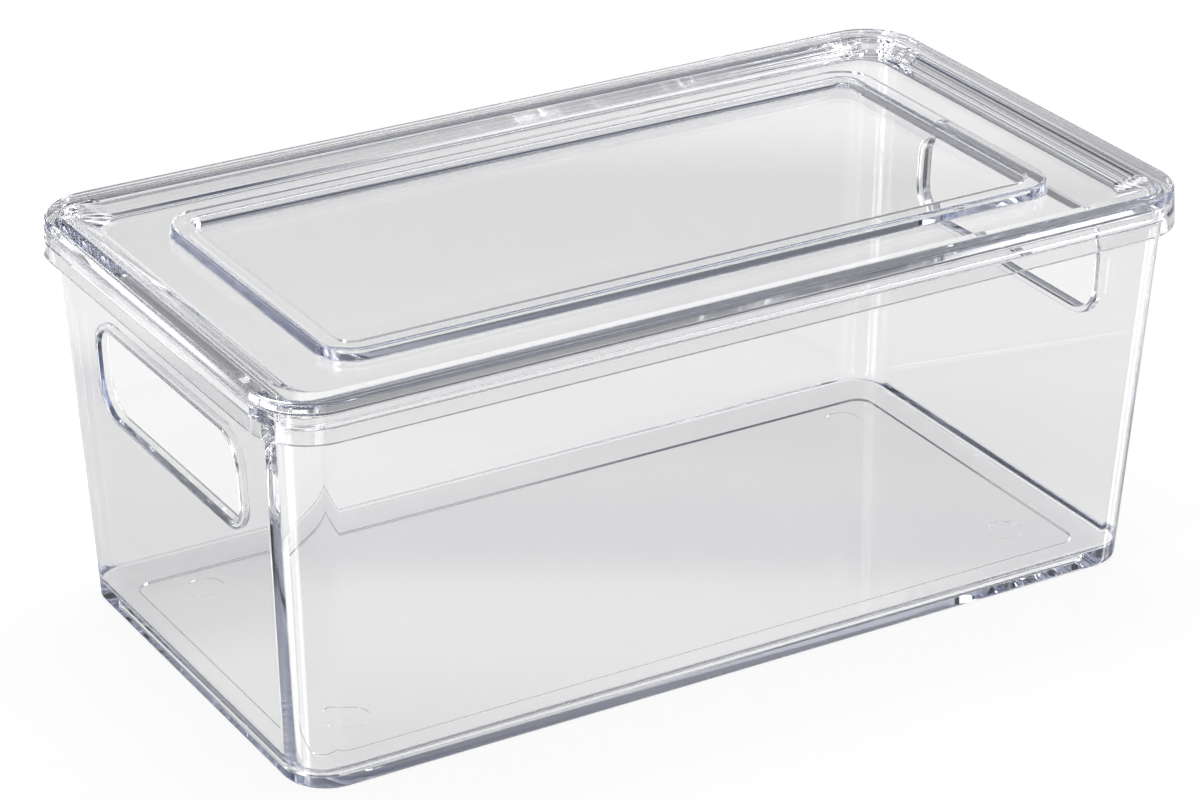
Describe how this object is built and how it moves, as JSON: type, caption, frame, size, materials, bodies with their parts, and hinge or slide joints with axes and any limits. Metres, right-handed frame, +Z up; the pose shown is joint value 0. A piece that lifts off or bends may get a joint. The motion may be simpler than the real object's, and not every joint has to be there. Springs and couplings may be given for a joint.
{
  "type": "storage box with lid",
  "caption": "Clear rectangular storage box with a hand hole in each end and a lift-off lid that carries a stacking ridge.",
  "frame": {"origin": "middle of the foot, on the surface that the box stands on", "axes": "+X along the long side, +Y along the short side, +Z up; the hand holes are in the two ends along X"},
  "size_m": [0.34, 0.186, 0.1382],
  "materials": {
    "clear_plastic": "clear and colourless, polished"
  },
  "bodies": {
    "bin": {"bin": "clear_plastic"},
    "lid": {"lid": "clear_plastic"}
  },
  "joints": [
    {"name": "lid_lift", "type": "slide", "parent": "bin", "child": "lid", "axis": [0, 0, 1], "range_m": [0, 0.08]}
  ]
}
